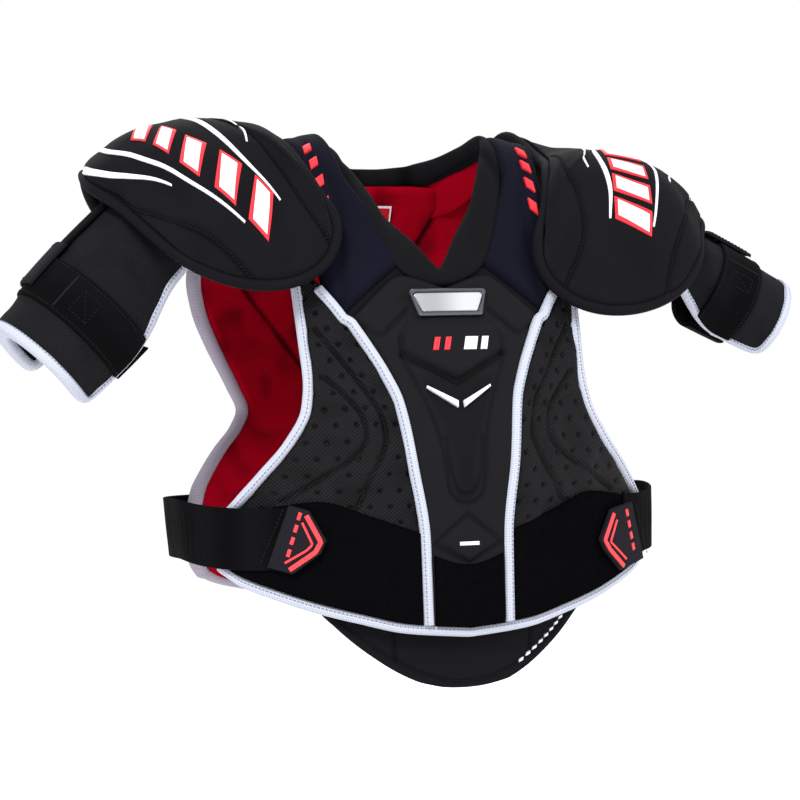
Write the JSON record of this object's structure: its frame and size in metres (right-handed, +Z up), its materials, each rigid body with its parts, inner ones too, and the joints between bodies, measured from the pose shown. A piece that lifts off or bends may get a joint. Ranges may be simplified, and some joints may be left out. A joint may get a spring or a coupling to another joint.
{
  "type": "hockey shoulder pads",
  "caption": "Ice hockey shoulder pads: a padded front and back vest with a collar, hinged shoulder caps, bicep guards, elastic side straps and a belly pad.",
  "frame": {"origin": "midway between the shoulders, at the height where the yokes rest on the wearer", "axes": "+Z up, -Y towards the wearer's front, +X towards the wearer's left"},
  "size_m": [0.7049, 0.2712, 0.4841],
  "materials": {
    "black_fabric": "matte brushed knit polyester",
    "charcoal_fabric": "matte brushed knit polyester",
    "woven_mesh": "coarse woven nylon with perforations",
    "navy_fabric": "matte knit polyester",
    "red_lining": "quilted tricot lining",
    "white_binding": "woven polyester binding tape",
    "loop_velour": "hook-and-loop landing pile",
    "elastic_webbing": "knitted elastic webbing",
    "red_rubber": "satin moulded rubber",
    "silver_plastic": "satin metallised plastic",
    "moulded_plastic": "matte injection moulded"
  },
  "bodies": {
    "vest": {"chest_liner": "red_lining", "sternum_panel": "black_fabric", "sternum_plate": "moulded_plastic", "left_chest_panel": "woven_mesh", "right_chest_panel": "woven_mesh", "left_sternum_piping": "white_binding", "right_sternum_piping": "white_binding", "left_loop_band": "loop_velour", "right_loop_band": "loop_velour", "centre_loop_band": "loop_velour", "chest_binding": "white_binding", "badge_frame": "silver_plastic", "badge_plate": "moulded_plastic", "back_liner": "red_lining", "spine_panel": "black_fabric", "spine_plate": "moulded_plastic", "left_back_panel": "black_fabric", "right_back_panel": "black_fabric", "left_strap_anchor": "elastic_webbing", "right_strap_anchor": "elastic_webbing", "back_binding": "white_binding", "neck_tag": "black_fabric", "left_yoke_pad": "navy_fabric", "right_yoke_pad": "navy_fabric", "left_yoke_liner": "red_lining", "right_yoke_liner": "red_lining", "collar": "charcoal_fabric"},
    "belly_pad": {"belly_pad": "black_fabric"},
    "left_cap": {"left_cap_cover": "black_fabric", "left_cap_shell": "moulded_plastic", "left_cap_liner": "black_fabric", "left_cap_piping": "black_fabric"},
    "left_link": {"left_link_strap": "elastic_webbing", "left_link_tab": "black_fabric"},
    "left_guard": {"left_guard_cover": "woven_mesh", "left_guard_plate": "moulded_plastic", "left_guard_liner": "black_fabric", "left_guard_binding": "white_binding", "left_guard_band": "elastic_webbing"},
    "left_closing_strap": {"left_guard_strap": "elastic_webbing", "left_guard_strap_tab": "black_fabric"},
    "left_side_strap": {"left_side_strap": "elastic_webbing", "left_side_hook_tab": "black_fabric", "left_tab_badge": "red_rubber"},
    "right_cap": {"right_cap_cover": "black_fabric", "right_cap_shell": "moulded_plastic", "right_cap_liner": "black_fabric", "right_cap_piping": "black_fabric"},
    "right_link": {"right_link_strap": "elastic_webbing", "right_link_tab": "black_fabric"},
    "right_guard": {"right_guard_cover": "woven_mesh", "right_guard_plate": "moulded_plastic", "right_guard_liner": "black_fabric", "right_guard_binding": "white_binding", "right_guard_band": "elastic_webbing"},
    "right_closing_strap": {"right_guard_strap": "elastic_webbing", "right_guard_strap_tab": "black_fabric"},
    "right_side_strap": {"right_side_strap": "elastic_webbing", "right_side_hook_tab": "black_fabric", "right_tab_badge": "red_rubber"}
  },
  "joints": [
    {"name": "belly_pad_fold", "type": "hinge", "parent": "vest", "child": "belly_pad", "pos_m": [0, -0.092, -0.339], "axis": [1, 0, 0], "range_deg": [0, 25]},
    {"name": "left_cap_lift", "type": "hinge", "parent": "vest", "child": "left_cap", "pos_m": [0.128, 0, 0.006], "axis": [0, -1, 0], "range_deg": [0, 32]},
    {"name": "left_arm_raise", "type": "hinge", "parent": "left_cap", "child": "left_link", "pos_m": [0.168, 0, -0.058], "axis": [0, -1, 0], "range_deg": [-40, 0]},
    {"name": "left_guard_twist", "type": "hinge", "parent": "left_link", "child": "left_guard", "pos_m": [0.26, -0.005, -0.102], "axis": [0.891, 0, -0.454], "range_deg": [-6, 6]},
    {"name": "left_closing_strap_peel", "type": "hinge", "parent": "left_guard", "child": "left_closing_strap", "pos_m": [0.26768, -0.02356, -0.1486], "axis": [-0.891, 0, 0.454], "range_deg": [0, 55]},
    {"name": "left_side_strap_peel", "type": "hinge", "parent": "vest", "child": "left_side_strap", "pos_m": [0.15604, 0.09829, -0.299], "axis": [0, 0, 1], "range_deg": [0, 95]},
    {"name": "right_cap_lift", "type": "hinge", "parent": "vest", "child": "right_cap", "pos_m": [-0.128, 0, 0.03], "axis": [0, 1, 0], "range_deg": [-4, 26]},
    {"name": "right_arm_raise", "type": "hinge", "parent": "right_cap", "child": "right_link", "pos_m": [-0.168, 0, -0.03], "axis": [0, 1, 0], "range_deg": [-32, 0]},
    {"name": "right_guard_twist", "type": "hinge", "parent": "right_link", "child": "right_guard", "pos_m": [-0.261, -0.005, -0.107], "axis": [-0.7071, 0, -0.7071], "range_deg": [-20, 20]},
    {"name": "right_closing_strap_peel", "type": "hinge", "parent": "right_guard", "child": "right_closing_strap", "pos_m": [-0.24559, -0.02676, -0.16201], "axis": [-0.7071, 0, -0.7071], "range_deg": [0, 55]},
    {"name": "right_side_strap_peel", "type": "hinge", "parent": "vest", "child": "right_side_strap", "pos_m": [-0.15604, 0.09829, -0.299], "axis": [0, 0, -1], "range_deg": [0, 95]}
  ]
}
